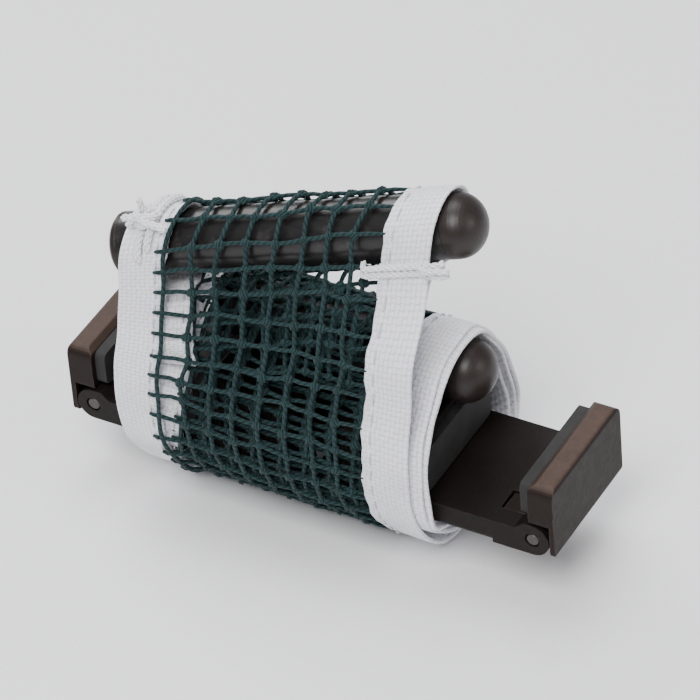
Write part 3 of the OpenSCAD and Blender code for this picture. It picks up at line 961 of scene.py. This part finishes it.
def foot_cord():
    """two wraps over the outer post near the foot rim, and a knot with its ends"""
    x_wrap = X_LEFT + 2.6
    wrap_radius = SLEEVE_RADIUS + TAPE_HALF + 0.62

    def round_post(shift, degrees, lift):
        x, radius, angle = x_wrap + shift, wrap_radius + lift, math.radians(degrees)
        y, z = outer_axis_at(x)
        return np.array([x, y + radius * math.cos(angle), z + radius * math.sin(angle)])

    builder = Builder()
    # columns: shift in x, angle round the post from +Y in degrees, lift off the wrap radius
    for wrap in (
            [(0.2, 176, -1.1), (0.15, 164, 0), (0, 145, 0), (0, 120, 0), (0, 95, 0),
             (0, 70, 0), (0.1, 45, 0), (0.2, 22, 0), (0.3, 4, -0.9)],
            [(1.3, 160, -1.1), (1.2, 150, 0), (1.1, 132, 0), (1.05, 112, 0), (1.05, 92, 0),
             (1.05, 66, 0), (1.1, 42, 0), (1.2, 18, -0.7)]):
        cord(builder, [round_post(*row) for row in wrap], 0.52)
    knot = round_post(0.3, 116, 0.8)
    # cord radius, then offsets (x, y, z) from the knot
    for radius, offsets in (
            (0.54, [(-1.9, -1.2, -0.9), (-1.3, -0.8, 0.2), (0.1, -0.8, 0.9),
                    (1.1, 0.1, 0.5), (0.4, 0.9, 0.0), (-0.8, 0.5, 0.3), (-0.8, -0.7, 0.8),
                    (0.6, -1.1, 0.4), (1.8, -0.8, 0.0), (3.2, -0.7, -0.2)]),
            (0.5, [(0.9, -0.3, -0.2), (0.1, -1.0, -0.3), (-0.9, -0.6, -0.5),
                   (-1.2, 0.3, 0.2), (-0.4, 0.6, 0.9), (0.5, 0.0, 1.0)]),
            (0.4, [(0.2, 0.1, 0.4), (-0.2, 0.0, 1.3), (-0.5, -0.2, 2.3), (-0.4, -0.3, 3.1)]),
            (0.48, [(-0.4, -0.2, 0.0), (-1.7, -0.6, 0.1), (-2.9, -0.9, -0.2)])):
        cord(builder, knot + np.array(offsets), radius)
    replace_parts(builder.build("foot_cord_tie", CORD, "net_roll"), "foot_cord")


head_cord()
foot_cord()


# ------------------------------------------------------------------ torsion springs
def spring(side, outward):
    """coil and fixed leg on the clamp; the other leg apart, so that it moves with the jaw"""
    x, y, z = [c * 1000 for c in joint(side + "_jaw_hinge")["pos_m"]]
    coil_radius, wire, sides, turns = 1.47, 0.35, 10, 4.75
    y_back, y_front = 1.9, -2.0                 # ends of the coil, from the hinge
    t = np.linspace(0, 1, 190)
    angle = np.radians(-90 - 360 * turns * t)
    coil = np.stack([x + outward * coil_radius * np.cos(angle),
                     y + y_back - (y_back - y_front) * t,
                     z + coil_radius * np.sin(angle)], 1)
    fixed_leg = np.stack([x + outward * np.linspace(-7.8, -0.25, 16),
                          np.full(16, y + y_back), np.full(16, z - coil_radius)], 1)
    builder = Builder()
    builder.tube(np.vstack([fixed_leg, coil[1:]]), wire, sides)
    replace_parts(builder.build(side + "_spring_coil", STEEL, side + "_clamp"),
                side + "_jaw_spring")
    end = coil[-1]
    leg = [end, end + np.array([-outward * 0.15, -0.05, 0.5])]
    leg += [(x + outward * shift, y + y_front, z + rise)
            for shift, rise in ((0.95, 2.6), (0.9, 4.2), (0.9, 5.8))]
    builder = Builder()
    builder.tube(catmull(leg), wire, sides)
    builder.build(side + "_spring_leg", STEEL, side + "_jaw")


spring("right", 1)
spring("left", -1)


# ------------------------------------------------------------------ floor (metres)
def floor():
    """flat floor with a curved rise to a wall at the back"""
    flat_end, bend, half_width, drop = 0.9, 0.5, 2.5, 0.00002
    profile = [(-1.6, 0.0), (flat_end, 0.0)]
    profile += [(flat_end + bend * math.sin(a), bend - bend * math.cos(a))
                for a in np.radians(np.arange(10, 91, 10))]
    profile.append((flat_end + bend, 1.8))
    k = len(profile)
    mesh = bpy.data.meshes.new("floor")
    mesh.from_pydata([(x, y, z - drop) for x in (-half_width, half_width) for y, z in profile],
                     [], [(k + i, k + i + 1, i + 1, i) for i in range(k - 1)])
    mesh.polygons.foreach_set("use_smooth", [True] * len(mesh.polygons))
    ob = link_object("floor", mesh)
    shader = Shader("pale_floor")
    shader.set({
        "Base Color": shader.mix(shader.noise(scale=3.0, detail=2),
                                 (0.78, 0.78, 0.79), (0.84, 0.84, 0.85)),
        "Roughness": 0.75})
    mesh.materials.append(shader.material)


floor()

# ------------------------------------------------------------------ light (metres)
world = bpy.data.worlds.new("studio")
bpy.context.scene.world = world
world.use_nodes = True
background = world.node_tree.nodes["Background"]
background.inputs["Color"].default_value = (0.93, 0.95, 1.0, 1)
background.inputs["Strength"].default_value = 0.45

LIGHT_TARGET = (0.004, -0.002, 0.022)


def area(name, place, size, power, colour=(1, 1, 1)):
    light = bpy.data.lights.new(name, "AREA")
    light.shape = "RECTANGLE"
    light.size, light.size_y = size
    light.energy, light.color = power, colour
    ob = link_object(name, light)
    ob.location = place
    ob.rotation_mode = "QUATERNION"
    ob.rotation_quaternion = (Vector(LIGHT_TARGET) - Vector(place)).to_track_quat("-Z", "Y")


area("key", place=(0.10, -0.42, 0.62), size=(0.34, 0.34), power=6.2)
area("top", place=(-0.15, 0.15, 0.75), size=(0.5, 0.4), power=4.2, colour=(0.96, 0.98, 1.0))
area("side", place=(0.62, 0.05, 0.30), size=(0.3, 0.3), power=1.1, colour=(1.0, 0.96, 0.92))
area("rim", place=(-0.5, 0.35, 0.4), size=(0.3, 0.3), power=2.0)


# ------------------------------------------------------------------ camera
def camera(eye, aim, roll_deg, lens):
    """camera at eye looking at aim, rolled about its line of sight"""
    data = bpy.data.cameras.new("camera")
    ob = link_object("camera", data)
    bpy.context.scene.camera = ob
    ob.location = Vector(eye * MM)
    forward = unit(aim - eye)
    level = unit(np.cross(forward, np.array([0.0, 0.0, 1.0])))
    upright = np.cross(level, forward)
    roll = math.radians(roll_deg)
    right = level * math.cos(roll) + upright * math.sin(roll)
    up = -level * math.sin(roll) + upright * math.cos(roll)
    ob.rotation_mode = "QUATERNION"
    ob.rotation_quaternion = Matrix(tuple(zip(right, up, -forward))).to_quaternion()
    data.sensor_width = 36
    data.lens = lens
    data.clip_start, data.clip_end = 0.05, 20   # metres


camera(eye=np.array([281.7, -447.1, 458.8]), aim=np.array([6.0, -2.0, 24.0]),
       roll_deg=-4.9, lens=290)
